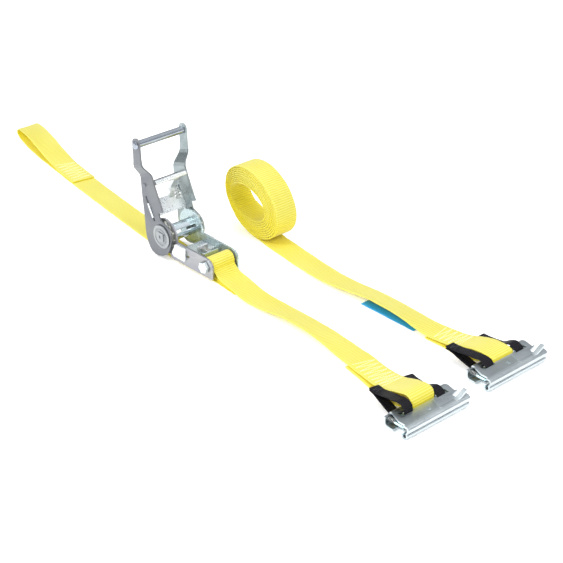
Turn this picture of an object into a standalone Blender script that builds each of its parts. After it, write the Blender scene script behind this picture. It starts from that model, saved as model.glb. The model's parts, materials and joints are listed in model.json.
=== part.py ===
"""Ratchet tie down: a ratchet with a short strap and a hand loop, and a long strap in a coil,
each strap ending in a spring fitting for slotted cargo track.

Drawn in millimetres in the ratchet's own frame: X along the straps towards the track fittings,
Y across the webbing, Z up, the floor at z = 0. ORIGIN moves it to the middle of the whole base.
"""
import math

import bmesh
import bpy
from mathutils import Vector

for old in list(bpy.data.objects):
    bpy.data.objects.remove(old)

MM = 0.001
ORIGIN = (14.2, 18.25)

# Webbing
WEB_W = 25.4
WEB_T = 1.4
TAB_W = 10.0
TAB_T = 1.3

# Ratchet frame and spindle
AXIS_X = -2.0
AXIS_Z = 24.0
FRAME_IN = 14.0
FRAME_OUT = 15.8
FRAME_END_R = 16.5
FRAME_TOP = 22.2
FRAME_FOOT = 3.0
FRAME_LENGTH_X = 66.0
SPINDLE_R = 8.2
SPINDLE_SLOT = 2.4
RUN_CLEAR = 0.08
WHEEL_IN = 16.1
WHEEL_OUT = 18.1
WHEEL_TIP_R = 15.0
WHEEL_ROOT_R = 12.4
WHEEL_TEETH = 13
HUB_R = 11.0
CAP_R = 11.6
BOLT_X = 56.0
BOLT_Z = 13.5
BOLT_R = 3.0
SLEEVE_R = 6.0
HEX_FLAT = 10.0

# Handle, in its own frame: u up the handle, v forward of it
HANDLE_TILT = 15.6
HANDLE_IN = 18.4
HANDLE_T = 1.8
FLARE_FROM = 57.0
FLARE_TO = 71.0
FLARE_OUT = 7.9
GRIP_U = 90.0
GRIP_V = 0.6
GRIP_R = 3.5
ANCHOR_VU = (-11.0, 49.0)
ANCHOR_R = 1.6
SLIDE_DIR = (-0.224, 0.9746)
SLIDE_FROM = (-6.3, 12.7)
SLIDE_LENGTH = 26.3
PULL_BAR_VU = (3.4, 51.0)
PULL_BAR_R = 2.2

# Track fittings
NOSE_WIDTH = 70.4
BODY_HALF = 33.5
SHEET = 1.8
BODY_TOP = 12.4
FIT_1 = (361.5, -31.0)
FIT_2 = (358.5, 67.5)
TAB_Y = 18.6

# Coil of the long strap
COIL_Y = (72.0, 97.4)
COIL_OUT = (18.2, 36.2, 41.0, 31.5, -31.0)
COIL_IN = (12.5, 34.6, 24.8, 16.4, -15.6)

ZINC = ("zinc_plated_steel", (0.62, 0.65, 0.68), 1.0, 0.32)
PLATE = ("passivated_steel", (0.66, 0.66, 0.60), 1.0, 0.38)
SPRING = ("spring_steel", (0.45, 0.46, 0.47), 1.0, 0.35)
YELLOW = ("yellow_webbing", (0.90, 0.82, 0.16), 0.0, 0.85)
BLACK = ("black_webbing", (0.03, 0.03, 0.035), 0.0, 0.85)
BLUE = ("blue_label", (0.02, 0.35, 0.62), 0.0, 0.7)


def material(name, finish):
    kind, colour, metallic, roughness = finish
    mat = bpy.data.materials.new(name + "_" + kind)
    mat.use_nodes = True
    shader = mat.node_tree.nodes["Principled BSDF"]
    shader.inputs["Base Color"].default_value = (*colour, 1.0)
    shader.inputs["Metallic"].default_value = metallic
    shader.inputs["Roughness"].default_value = roughness
    return mat


def add(name, verts, faces, finish=ZINC, smooth=False, origin=(0.0, 0.0, 0.0)):
    """An object from points in millimetres, with its faces turned outwards."""
    mesh = bpy.data.meshes.new(name)
    bm = bmesh.new()
    made = [bm.verts.new([(p[i] - origin[i]) * MM for i in range(3)]) for p in verts]
    for face in faces:
        bm.faces.new([made[i] for i in face])
    bmesh.ops.recalc_face_normals(bm, faces=bm.faces)
    bm.to_mesh(mesh)
    bm.free()
    obj = bpy.data.objects.new(name, mesh)
    obj.location = [origin[i] * MM for i in range(3)]
    bpy.context.collection.objects.link(obj)
    if finish:
        mesh.materials.append(material(name, finish))
    if smooth:
        for poly in mesh.polygons:
            poly.use_smooth = True
    return obj


def prism_data(outline, low, high, place):
    """Points and faces of an outline pushed from low to high."""
    count = len(outline)
    verts = [place(a, b, low) for a, b in outline]
    verts += [place(a, b, high) for a, b in outline]
    faces = [tuple(range(count)), tuple(range(count, 2 * count))]
    for i in range(count):
        j = (i + 1) % count
        faces.append((i, j, count + j, count + i))
    return verts, faces


def xz(a, b, c):
    return (a, c, b)


def xy(a, b, c):
    return (a, b, c)


TILT = math.radians(HANDLE_TILT)
UP = (-math.sin(TILT), math.cos(TILT))
AHEAD = (math.cos(TILT), math.sin(TILT))


def vu(v, u, y):
    """A point of the handle's own frame."""
    return (AXIS_X + v * AHEAD[0] + u * UP[0], y, AXIS_Z + v * AHEAD[1] + u * UP[1])


def prism(name, outline, low, high, place=xz, finish=ZINC, origin=(0.0, 0.0, 0.0)):
    verts, faces = prism_data(outline, low, high, place)
    return add(name, verts, faces, finish, origin=origin)


def arc(cx, cy, radius, start, stop, steps):
    out = []
    for i in range(steps + 1):
        t = math.radians(start + (stop - start) * i / steps)
        out.append((cx + radius * math.cos(t), cy + radius * math.sin(t)))
    return out


def circle(cx, cy, radius, steps=36):
    return arc(cx, cy, radius, 0.0, 360.0 - 360.0 / steps, steps - 1)


def rounded(cx, cy, half_a, half_b, radius, steps=4):
    out = []
    for sx, sy, start in ((1, 1, 0), (-1, 1, 90), (-1, -1, 180), (1, -1, 270)):
        out += arc(cx + sx * (half_a - radius), cy + sy * (half_b - radius), radius,
                   start, start + 90, steps)
    return out


def hexagon(cx, cy, flat, turn=0.0):
    return arc(cx, cy, flat / math.sqrt(3.0), turn, turn + 300.0, 5)


def boolean(obj, tool, operation="DIFFERENCE"):
    """A live exact boolean; the tool stays in the file, hidden."""
    mod = obj.modifiers.new(operation.lower(), "BOOLEAN")
    mod.operation = operation
    mod.solver = "EXACT"
    mod.object = tool
    tool.hide_render = True
    tool.hide_viewport = False
    tool.display_type = "WIRE"
    tool.hide_set(True)


def cut(obj, name, outline, low, high, place=xz):
    boolean(obj, prism(name + "_cutter", outline, low, high, place, None))


def join(obj, name, outline, low, high, place=xz):
    boolean(obj, prism(name + "_joiner", outline, low, high, place, None), "UNION")


def bevel(obj, width, segments=1, angle=40.0):
    mod = obj.modifiers.new("edge", "BEVEL")
    mod.width = width * MM
    mod.segments = segments
    mod.limit_method = "ANGLE"
    mod.angle_limit = math.radians(angle)
    mod.harden_normals = False


def smooth_sides(obj, angle=35.0):
    """Round sides shade smooth, corners stay sharp."""
    for poly in obj.data.polygons:
        poly.use_smooth = True
    obj.data.set_sharp_from_angle(angle=math.radians(angle))


def lathe_y(name, profile, cx, cz, finish=ZINC, steps=28, closed=False):
    """A body turned about a line along Y. Profile: (y, radius) pairs."""
    verts = []
    faces = []
    rings = []
    for y, radius in profile:
        if radius == 0.0:
            rings.append([len(verts)])
            verts.append((cx, y, cz))
            continue
        ring = []
        for a, b in circle(cx, cz, radius, steps):
            ring.append(len(verts))
            verts.append((a, y, b))
        rings.append(ring)
    pairs = list(zip(rings, rings[1:]))
    if closed:
        pairs.append((rings[-1], rings[0]))
    for one, two in pairs:
        for i in range(steps):
            j = (i + 1) % steps
            if len(one) == 1:
                faces.append((one[0], two[j], two[i]))
            elif len(two) == 1:
                faces.append((one[i], one[j], two[0]))
            else:
                faces.append((one[i], one[j], two[j], two[i]))
    obj = add(name, verts, faces, finish)
    smooth_sides(obj)
    return obj


def ribbon(name, rows, width, thick, finish):
    """A flat strap along rows of (x, y, z, lift), lift being how far its near edge is raised."""
    verts = []
    faces = []
    last = len(rows) - 1
    for i, (x, y, z, lift) in enumerate(rows):
        before = Vector(rows[max(i - 1, 0)][:3])
        after = Vector(rows[min(i + 1, last)][:3])
        along = (after - before).normalized()
        across = Vector((0.0, 1.0, -lift / width))
        across -= along * across.dot(along)
        across.normalize()
        up = along.cross(across)
        for a, b in ((-1, -1), (1, -1), (1, 1), (-1, 1)):
            p = Vector((x, y, z)) + across * (a * width / 2) + up * (b * thick / 2)
            verts.append(tuple(p))
    for i in range(last):
        for k in range(4):
            j = (k + 1) % 4
            faces.append((4 * i + k, 4 * i + j, 4 * i + 4 + j, 4 * i + 4 + k))
    faces.append((0, 1, 2, 3))
    faces.append(tuple(4 * last + k for k in range(4)))
    obj = add(name, verts, faces, finish)
    smooth_sides(obj, 50.0)
    return obj


def spring(name, start, stop, radius, wire, turns, steps=9, sides=4):
    """A compression spring from start to stop."""
    start = Vector(start)
    stop = Vector(stop)
    along = (stop - start).normalized()
    side = along.orthogonal().normalized()
    other = along.cross(side)
    total = int(turns * steps)
    centre = []
    for i in range(total + 1):
        t = 2 * math.pi * i / steps
        centre.append(start + (stop - start) * (i / total)
                      + (side * math.cos(t) + other * math.sin(t)) * radius)
    verts = []
    faces = []
    for i, p in enumerate(centre):
        ahead = centre[min(i + 1, total)] - centre[max(i - 1, 0)]
        ahead.normalize()
        out = p - (start + along * (p - start).dot(along))
        out -= ahead * out.dot(ahead)
        out.normalize()
        upward = ahead.cross(out)
        for k in range(sides):
            a = 2 * math.pi * k / sides
            verts.append(tuple(p + (out * math.cos(a) + upward * math.sin(a)) * (wire / 2)))
    for i in range(total):
        for k in range(sides):
            j = (k + 1) % sides
            faces.append((sides * i + k, sides * i + j, sides * i + sides + j,
                          sides * i + sides + k))
    faces.append(tuple(range(sides)))
    faces.append(tuple(sides * total + k for k in range(sides)))
    return add(name, verts, faces, SPRING, smooth=True)


# Ratchet frame -----------------------------------------------------------------------------

FRAME_OUTLINE = (
    arc(AXIS_X, AXIS_Z, FRAME_END_R, -6.0, 285.0, 22)
    + [(6.5, FRAME_FOOT)]
    + arc(FRAME_LENGTH_X - 2.0, FRAME_FOOT + 2.0, 2.0, -90.0, 0.0, 3)
    + arc(FRAME_LENGTH_X - 9.0, FRAME_TOP - 9.0, 9.0, 0.0, 90.0, 6)
)
SPINDLE_AXIS = (AXIS_X, 0.0, AXIS_Z)


def frame_plate(side, sign):
    obj = prism("frame_plate_" + side, FRAME_OUTLINE, sign * FRAME_IN, sign * FRAME_OUT)
    ends = (sign * (FRAME_IN - 3), sign * (FRAME_OUT + 3))
    cut(obj, "frame_bore_" + side, circle(AXIS_X, AXIS_Z, SPINDLE_R + RUN_CLEAR), *ends)
    cut(obj, "frame_slot_" + side, rounded(22.75, 13.8, 9.85, 1.2, 0.6, 2), *ends)
    cut(obj, "frame_bolt_hole_" + side, circle(BOLT_X, BOLT_Z, BOLT_R + 0.1, 24), *ends)
    bevel(obj, 0.35)
    smooth_sides(obj)


frame_plate("left", -1)
frame_plate("right", 1)

tie = prism("frame_cross_tie", [(31.0, 4.2), (45.6, 4.2), (45.6, 20.0), (44.0, 20.0),
                                (44.0, 5.8), (31.0, 5.8)], -13.8, 13.8)
cut(tie, "tie_left", rounded(44.8, -14.0, 3.0, 5.5, 1.0), 6.6, 30.0, xy)
cut(tie, "tie_right", rounded(44.8, 14.0, 3.0, 5.5, 1.0), 6.6, 30.0, xy)
bevel(tie, 0.3)

bolt = lathe_y("end_bolt", [(-16.2, 0.0), (-16.2, BOLT_R), (20.4, BOLT_R), (21.0, BOLT_R - 0.6),
                            (21.0, 0.0)], BOLT_X, BOLT_Z, steps=24)
join(bolt, "bolt_head", hexagon(BOLT_X, BOLT_Z, HEX_FLAT, 12.0), -20.0, -16.1)
bevel(bolt, 0.4)
nut = prism("end_bolt_nut", hexagon(BOLT_X, BOLT_Z, HEX_FLAT, 20.0), 16.1, 19.6)
cut(nut, "nut_bore", circle(BOLT_X, BOLT_Z, BOLT_R + 0.1, 24), 10.0, 30.0)
bevel(nut, 0.4)
lathe_y("end_bolt_sleeve", [(-13.6, BOLT_R + 0.2), (-13.6, SLEEVE_R), (13.6, SLEEVE_R),
                            (13.6, BOLT_R + 0.2)], BOLT_X, BOLT_Z, steps=28, closed=True)

# The lock pawl: a plate across the frame with an ear outside each frame plate.
LOCK_EAR = [(11.2, 14.6), (13.2, 17.9), (13.8, 20.4), (14.8, 21.2), (27.0, 21.2),
            (28.4, 19.6), (28.4, 9.4), (27.0, 8.2), (11.4, 8.2), (9.6, 9.8), (9.8, 12.4)]
lock = prism("lock_pawl", [(14.2, 13.0), (27.6, 13.0), (27.6, 14.6), (14.2, 14.6)], -17.9, 17.9,
             origin=(20.0, 0.0, 13.8))
join(lock, "lock_shelf", [(27.0, 13.0), (33.4, 13.0), (33.4, 14.6), (27.0, 14.6)], -13.5, 13.5)
join(lock, "lock_tab", [(31.4, 13.6), (33.0, 13.6), (33.0, 20.6), (32.6, 21.4), (31.8, 21.4),
                        (31.4, 20.6)], -6.0, 6.0)
join(lock, "lock_ear_left", LOCK_EAR, -WHEEL_OUT, -WHEEL_IN)
join(lock, "lock_ear_right", LOCK_EAR, WHEEL_IN, WHEEL_OUT)
spring("lock_pawl_spring", (33.5, 0.0, 17.4), (43.5, 0.0, 17.4), 2.5, 0.8, 4.5)


# Spindle -----------------------------------------------------------------------------------

def wheel_outline():
    out = []
    step = 360.0 / WHEEL_TEETH
    for i in range(WHEEL_TEETH):
        base = i * step
        for part, radius in ((0.0, WHEEL_TIP_R), (0.12, WHEEL_TIP_R), (0.2, WHEEL_ROOT_R),
                             (0.45, WHEEL_ROOT_R)):
            t = math.radians(base + part * step)
            out.append((AXIS_X + radius * math.cos(t), AXIS_Z + radius * math.sin(t)))
    return out


def ratchet_wheel(side, sign):
    obj = prism("ratchet_wheel_" + side, wheel_outline(), sign * WHEEL_IN, sign * WHEEL_OUT,
                origin=SPINDLE_AXIS)
    join(obj, "hub_" + side, circle(AXIS_X, AXIS_Z, HUB_R), sign * (WHEEL_OUT - 0.7),
         sign * 20.5)
    cut(obj, "wheel_bore_" + side, circle(AXIS_X, AXIS_Z, SPINDLE_R + 0.1), sign * 10.0,
        sign * 30.0)
    smooth_sides(obj)


ratchet_wheel("left", -1)
ratchet_wheel("right", 1)

HALF_ANGLE = math.degrees(math.asin(SPINDLE_SLOT / 2 / SPINDLE_R))
SLOT_TURN = 24.0
for label, turn in (("upper", SLOT_TURN), ("lower", SLOT_TURN + 180.0)):
    half = arc(AXIS_X, AXIS_Z, SPINDLE_R, turn + HALF_ANGLE, turn + 180.0 - HALF_ANGLE, 22)
    shaft = prism("spindle_half_" + label, half, -20.4, 20.4, origin=SPINDLE_AXIS)
    bevel(shaft, 0.3, 1, 50.0)
    smooth_sides(shaft)

for side, sign in (("left", -1), ("right", 1)):
    cap = lathe_y("spindle_cap_" + side, [(sign * 20.7, 0.0), (sign * 20.7, CAP_R - 0.3),
                                          (sign * 21.0, CAP_R), (sign * 21.3, CAP_R),
                                          (sign * 21.7, CAP_R - 0.6), (sign * 21.7, 8.6),
                                          (sign * 21.3, 8.4), (sign * 21.3, 7.5),
                                          (sign * 21.7, 7.3), (sign * 21.7, 0.0)],
                  AXIS_X, AXIS_Z, steps=28)
    join(cap, "cap_boss_" + side, rounded(AXIS_X, AXIS_Z, 4.4, 4.4, 1.6, 3), sign * 21.5,
         sign * 22.6)
    cut(cap, "cap_dimple_" + side, circle(AXIS_X, AXIS_Z, 1.7, 16), sign * 22.0, sign * 24.0)


# Handle ------------------------------------------------------------------------------------

# Height up the handle, back edge, front edge.
HANDLE_STATIONS = [
    (-19.8, -12.5, -5.5), (-18.6, -17.0, -0.5), (-16.0, -20.8, 4.0), (-12.5, -23.2, 7.6),
    (-8.0, -24.6, 11.2), (-3.0, -25.0, 13.6), (2.0, -24.6, 13.8), (6.5, -24.0, 12.4),
    (10.0, -23.3, 9.6), (13.0, -22.6, 5.6), (15.5, -22.1, 2.2), (19.0, -21.4, 1.7),
    (22.6, -20.8, 2.0), (23.5, -20.6, 8.6), (38.0, -18.4, 6.0),
    (48.0, -16.4, 4.1), (57.0, -14.6, 3.3), (60.0, -13.8, 3.0),
    (64.0, -12.6, 2.4), (68.0, -11.2, 2.0), (71.0, -10.1, 2.0), (76.0, -8.3, 2.7),
    (82.0, -6.6, 4.0), (87.0, -5.6, 5.2), (91.0, -4.8, 5.6), (94.0, -3.6, 4.8),
    (96.0, -1.6, 3.2),
]


def flare(u):
    t = min(max((u - FLARE_FROM) / (FLARE_TO - FLARE_FROM), 0.0), 1.0)
    return FLARE_OUT * t * t * (3 - 2 * t)


def slide_point(distance, off=0.0):
    """A point on the drive pawl's slide, off to the front of it."""
    return (SLIDE_FROM[0] + SLIDE_DIR[0] * distance + SLIDE_DIR[1] * off,
            SLIDE_FROM[1] + SLIDE_DIR[1] * distance - SLIDE_DIR[0] * off)


def slide_bar(start, stop, half):
    return [slide_point(start, -half), slide_point(start, half),
            slide_point(stop, half), slide_point(stop, -half)]


def handle_plate(side, sign):
    verts = []
    faces = []
    for u, back, front in HANDLE_STATIONS:
        inner = HANDLE_IN + flare(u)
        outer = inner + HANDLE_T
        verts += [vu(back, u, sign * inner), vu(front, u, sign * inner),
                  vu(front, u, sign * outer), vu(back, u, sign * outer)]
    last = len(HANDLE_STATIONS) - 1
    for i in range(last):
        for k in range(4):
            j = (k + 1) % 4
            faces.append((4 * i + k, 4 * i + j, 4 * i + 4 + j, 4 * i + 4 + k))
    faces.append((0, 1, 2, 3))
    faces.append(tuple(4 * last + k for k in range(4)))
    obj = add("handle_plate_" + side, verts, faces, ZINC, origin=SPINDLE_AXIS)
    ends = (sign * (HANDLE_IN - 3), sign * (HANDLE_IN + HANDLE_T + 3))
    cut(obj, "handle_bore_" + side, circle(0.0, 0.0, HUB_R + RUN_CLEAR), *ends, vu)
    cut(obj, "handle_slot_" + side, slide_bar(1.6, SLIDE_LENGTH, 1.35), *ends, vu)
    cut(obj, "anchor_hole_" + side, circle(*ANCHOR_VU, ANCHOR_R + 0.1, 20), *ends, vu)
    grip_ends = (sign * 22.0, sign * 32.0)
    cut(obj, "grip_hole_" + side, circle(GRIP_V, GRIP_U, GRIP_R - 0.9, 24), *grip_ends, vu)
    bevel(obj, 0.4, 1, 50.0)
    smooth_sides(obj, 38.0)


handle_plate("left", -1)
handle_plate("right", 1)

GRIP_AT = vu(GRIP_V, GRIP_U, 0.0)
PLATE_FACE = HANDLE_IN + FLARE_OUT
lathe_y("grip_rod", [(-30.0, 0.0), (-30.0, 2.2), (-29.3, 3.6), (-28.4, 4.1), (-28.4, 2.5),
                     (-26.1, 2.5), (-26.1, GRIP_R), (26.1, GRIP_R), (26.1, 2.5), (28.4, 2.5),
                     (28.4, 4.1), (29.3, 3.6), (30.0, 2.2), (30.0, 0.0)],
        GRIP_AT[0], GRIP_AT[2], steps=22)
ANCHOR_AT = vu(*ANCHOR_VU, 0.0)
lathe_y("pawl_spring_anchor", [(-21.2, 0.0), (-21.2, 1.5), (-20.6, 2.4), (-20.5, 2.4),
                               (-20.5, ANCHOR_R), (20.5, ANCHOR_R), (20.5, 2.4), (20.6, 2.4),
                               (21.2, 1.5), (21.2, 0.0)], ANCHOR_AT[0], ANCHOR_AT[2], steps=20)

# The drive pawl: a sliding plate with a nose over each wheel and a finger bar.
pawl = prism("drive_pawl", slide_bar(4.6, 20.5, 0.9), -18.1, 18.1, vu, PLATE,
             origin=SPINDLE_AXIS)
join(pawl, "pawl_guides", slide_bar(5.2, 19.4, 1.05), -20.9, 20.9, vu)
for side, sign in (("left", -1), ("right", 1)):
    join(pawl, "pawl_nose_" + side, slide_bar(2.5, 6.0, 0.75), sign * WHEEL_IN,
         sign * 17.9, vu)
join(pawl, "pawl_arm", [(-11.9, 30.2), (-9.2, 29.4), (-4.6, 40.0), (4.6, 48.8), (5.6, 51.4),
                        (3.6, 53.2), (0.8, 52.4), (-7.4, 42.2)], 3.4, 9.0, vu)
join(pawl, "pull_bar", circle(*PULL_BAR_VU, PULL_BAR_R, 20), -17.7, 17.7, vu)
cut(pawl, "spring_window", slide_bar(13.5, 30.0, 4.0), 10.0, 16.8, vu)
bevel(pawl, 0.25)
smooth_sides(pawl)
spring("drive_pawl_spring", vu(*slide_point(14.1), 13.4), vu(*slide_point(34.2), 13.4),
       2.6, 0.8, 7.0)


# Track fittings ----------------------------------------------------------------------------

def sheet_section(path, thick):
    """The outline of a sheet bent along a path of (x, z) points."""
    left = []
    right = []
    last = len(path) - 1
    for i, (x, z) in enumerate(path):
        ax, az = path[max(i - 1, 0)]
        bx, bz = path[min(i + 1, last)]
        length = math.hypot(bx - ax, bz - az)
        nx = -(bz - az) / length * thick / 2
        nz = (bx - ax) / length * thick / 2
        left.append((x + nx, z + nz))
        right.append((x - nx, z - nz))
    return left + right[::-1]


MID = BODY_TOP - SHEET / 2
SHELL_PATH = (
    [(-13.6, 0.95)]
    + arc(-24.6, 4.95, 4.0, 270.0, 180.0, 5)
    + arc(-25.6, MID - 3.0, 3.0, 180.0, 90.0, 5)
    + [(-5.4, MID)]
)
NOSE_PATH = (
    [(-6.5, MID)]
    + arc(-4.2, MID - 2.2, 2.2, 90.0, 0.0, 5)
    + [(-2.0, 8.2), (-2.8, 6.8)]
    + arc(-5.3, 3.4, 2.5, 50.0, -185.0, 14)
)


def track_fitting(label, at):
    fx, fy = at

    def place(a, b, c):
        return (fx + a, fy + c, b)

    def flat(a, b, c):
        return (fx + a, fy + b, c)

    name = "track_fitting_" + label + "_body"
    half = NOSE_WIDTH / 2
    body = prism(name, sheet_section(SHELL_PATH, SHEET), -BODY_HALF, BODY_HALF, place)
    join(body, name + "_nose", sheet_section(NOSE_PATH, SHEET), -half, half, place)
    slot = [(-21.7, -26.4), (-16.4, -26.4), (-16.4, -13.2), (-18.3, -12.9), (-18.3, 12.9),
            (-16.4, 13.2), (-16.4, 26.4), (-21.7, 26.4)]
    cut(body, name + "_web_slot", slot, 9.0, 30.0, flat)
    cut(body, name + "_rear_gate", [(-40.0, -26.4), (-26.0, -26.4), (-26.0, 26.4),
                                    (-40.0, 26.4)], 2.3, MID - SHEET / 2, flat)
    cut(body, name + "_left_taper", [(-40.0, -45.0), (-14.0, -45.0), (-14.0, -33.2),
                                     (-29.6, -27.4), (-40.0, -27.4)], 9.0, 30.0, flat)
    corner = [(-40.0, 45.0), (-40.0, 27.5)] + arc(-23.5, 27.5, 6.0, 180.0, 90.0, 6)
    cut(body, name + "_corner", corner + [(-14.5, 31.2), (-14.5, 45.0)], 9.0, 30.0, flat)
    cut(body, name + "_notch", [(-14.6, 45.0), (-13.4, 32.9), (-11.8, 25.6), (-10.6, 24.2),
                                (-6.0, 23.4), (-6.0, 45.0)], 9.1, 30.0, flat)
    cut(body, name + "_foot_notch", [(-19.0, -40.0), (-12.0, -40.0), (-12.0, -27.0),
                                     (-19.0, -27.0)], -5.0, 4.0, flat)
    finger = [(20.5, 11.0), (24.0, 11.4), (32.4, 15.8), (33.4, 17.2), (32.6, 18.0),
              (31.2, 17.5), (23.4, 13.1), (20.5, 12.2)]
    verts, faces = prism_data(finger, -6.9, -2.9, lambda a, b, c: (fx + c, fy + a, b))
    tab = add(name + "_finger_joiner", verts, faces, None)
    boolean(body, tab, "UNION")
    ridge = [(-16.0, 7.0), (-15.8, 7.8), (-4.4, 4.7), (-4.6, 3.9)]
    join(body, name + "_ridge", ridge, BODY_TOP - 0.6, BODY_TOP + 0.3, flat)
    join(body, name + "_boss", circle(-11.0, -3.1, 2.1, 18), BODY_TOP - 0.6, BODY_TOP + 0.3, flat)
    cut(body, name + "_dimple", circle(-11.0, -3.1, 1.0, 14), BODY_TOP - 0.5, 30.0, flat)
    bevel(body, 0.3, 1, 45.0)
    smooth_sides(body)

    latch_outline = [(-12.2, -31.0), (-10.6, -30.0), (-10.6, -20.0), (-12.2, -19.0),
                     (-12.2, 19.0), (-10.6, 20.0), (-10.6, 30.0), (-12.2, 31.0),
                     (-20.6, 31.0), (-20.6, 26.9), (-24.4, 26.2), (-24.4, -26.2),
                     (-20.6, -26.9), (-20.6, -31.0)]
    latch = prism("track_fitting_" + label + "_latch", latch_outline, 5.4, 7.2, flat, PLATE)
    for side, sign in (("left", -1), ("right", 1)):
        cut(latch, "latch_hole_" + label + "_" + side,
            rounded(-17.1, sign * TAB_Y, 1.9, 6.4, 0.6), 0.0, 12.0, flat)
        spring("track_fitting_" + label + "_spring_" + side,
               (fx - 27.3, fy + sign * 29.2, 6.3), (fx - 21.1, fy + sign * 29.2, 6.3),
               1.6, 0.6, 4.5)
    bevel(latch, 0.25)


track_fitting("one", FIT_1)
track_fitting("two", FIT_2)

# A pull tab: out under the latch, up through the slot, and back over the rear bar.
TAB_UP = [(-29.0, 3.75), (-23.0, 3.7), (-19.6, 3.8), (-18.2, 4.4), (-17.6, 5.8), (-17.5, 8.0),
          (-17.4, 10.6), (-17.5, 12.9)]


def tab_path(arch, end, sag):
    """The line of a tab: arch is the height of its bend, end that of its free
    end, and sag how soon its upper ply drops from one to the other."""
    rise = end - 3.9
    fall = arch - end - 1.7
    lower = [(-62.0, end), (-54.0, end - 0.15 * rise), (-45.0, 3.9 + 0.42 * rise),
             (-36.0, 3.9 + 0.1 * rise)]
    upper = [(-18.6, arch - 2.6), (-21.4, arch - 0.7), (-25.6, arch), (-31.0, arch - 0.1 - sag * fall / 3),
             (-38.0, arch - sag * fall), (-46.0, arch - (sag + 1.0) / 2 * fall),
             (-54.0, arch - 0.95 * fall), (-62.0, end + 1.7)]
    return lower + TAB_UP + upper


def pull_tab(label, side, sign, at, drift, arch, end, sag):
    rows = []
    for x, z in tab_path(arch, end, sag):
        t = min(max((-30.0 - x) / 52.0, 0.0), 1.0)
        rows.append((at[0] + x, at[1] + sign * TAB_Y + drift * t, z, 0.0))
    ribbon("track_fitting_" + label + "_tab_" + side, rows, TAB_W, TAB_T, BLACK)


pull_tab("one", "left", -1, FIT_1, 11.0, 19.5, 9.8, 0.35)
pull_tab("one", "right", 1, FIT_1, 14.0, 15.8, 4.0, 0.65)
pull_tab("two", "left", -1, FIT_2, 0.4, 16.0, 10.5, 0.35)
pull_tab("two", "right", 1, FIT_2, 3.2, 15.8, 4.0, 0.65)

# Webbing -----------------------------------------------------------------------------------

# Where a strap goes round a fitting's rear bar: along x from the nose, and up.
BAR_UNDER = [(-46.0, 3.2), (-38.0, 5.4), (-32.0, 7.8), (-27.0, 9.1), (-23.4, 9.3),
             (-21.0, 9.4), (-19.95, 10.1), (-19.7, 11.5)]
BAR_OVER_1 = [(-19.75, 13.6), (-20.1, 16.2), (-21.4, 18.8), (-24.4, 20.5), (-28.6, 20.8),
              (-34.0, 19.4), (-41.0, 16.6), (-48.0, 13.4), (-57.0, 9.4), (-68.0, 5.8),
              (-80.0, 3.4)]
BAR_OVER_2 = [(-19.75, 13.0), (-20.6, 14.3), (-23.2, 15.1), (-27.6, 15.5), (-33.0, 15.5),
              (-38.0, 15.0), (-44.0, 13.8), (-54.0, 10.6), (-62.0, 7.6), (-71.0, 5.0),
              (-81.0, 3.4)]


def loop_rows(at, y_near, over, lower, upper):
    """Rows for a strap coming out of its overlap, round the bar and back."""
    rows = list(lower)
    for x, z in BAR_UNDER + over:
        t = min(max((-33.5 - x) / 48.5, 0.0), 1.0)
        rows.append((at[0] + x, at[1] + (y_near - at[1]) * t, z, 0.0))
    return rows + list(upper)


short_rows = loop_rows(
    FIT_1, -17.5, BAR_OVER_1,
    [(253.0, -15.0, 0.9, 0.0), (268.0, -18.0, 0.9, 0.0), (284.0, -21.5, 1.0, 0.0),
     (300.0, -25.0, 1.4, 0.0)],
    [(266.0, -15.2, 2.7, 0.0), (252.0, -12.4, 2.6, 0.0), (241.0, -10.2, 1.6, 0.6),
     (230.0, -8.4, 1.6, 1.6), (215.0, -6.6, 2.3, 3.0), (197.0, -5.2, 3.1, 4.6),
     (178.0, -4.6, 3.4, 5.2), (158.0, -4.6, 3.2, 4.8), (140.0, -5.2, 2.3, 2.4),
     (124.0, -5.6, 1.9, 0.8), (110.0, -5.4, 2.3, 0.2), (98.0, -4.2, 3.6, 0.0),
     (86.0, -2.4, 4.3, 0.0), (77.0, -1.0, 4.5, 0.0), (71.0, -0.4, 5.5, 0.0),
     (67.0, 0.0, 7.6, 0.0)])
loop_r = SLEEVE_R + 0.5 + WEB_T / 2
for ax, az in arc(BOLT_X, BOLT_Z, loop_r, -18.0, 262.0, 16):
    short_rows.append((ax, 0.0, az, 0.0))
short_rows += [(58.5, 0.0, 5.6, 0.0), (64.0, 0.0, 4.0, 0.0), (71.0, -0.4, 2.8, 0.0),
               (78.0, -1.0, 2.5, 0.0), (84.0, -1.6, 2.5, 0.0), (90.0, -2.2, 2.5, 0.0)]
ribbon("short_strap", short_rows, WEB_W, WEB_T, YELLOW)

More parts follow.
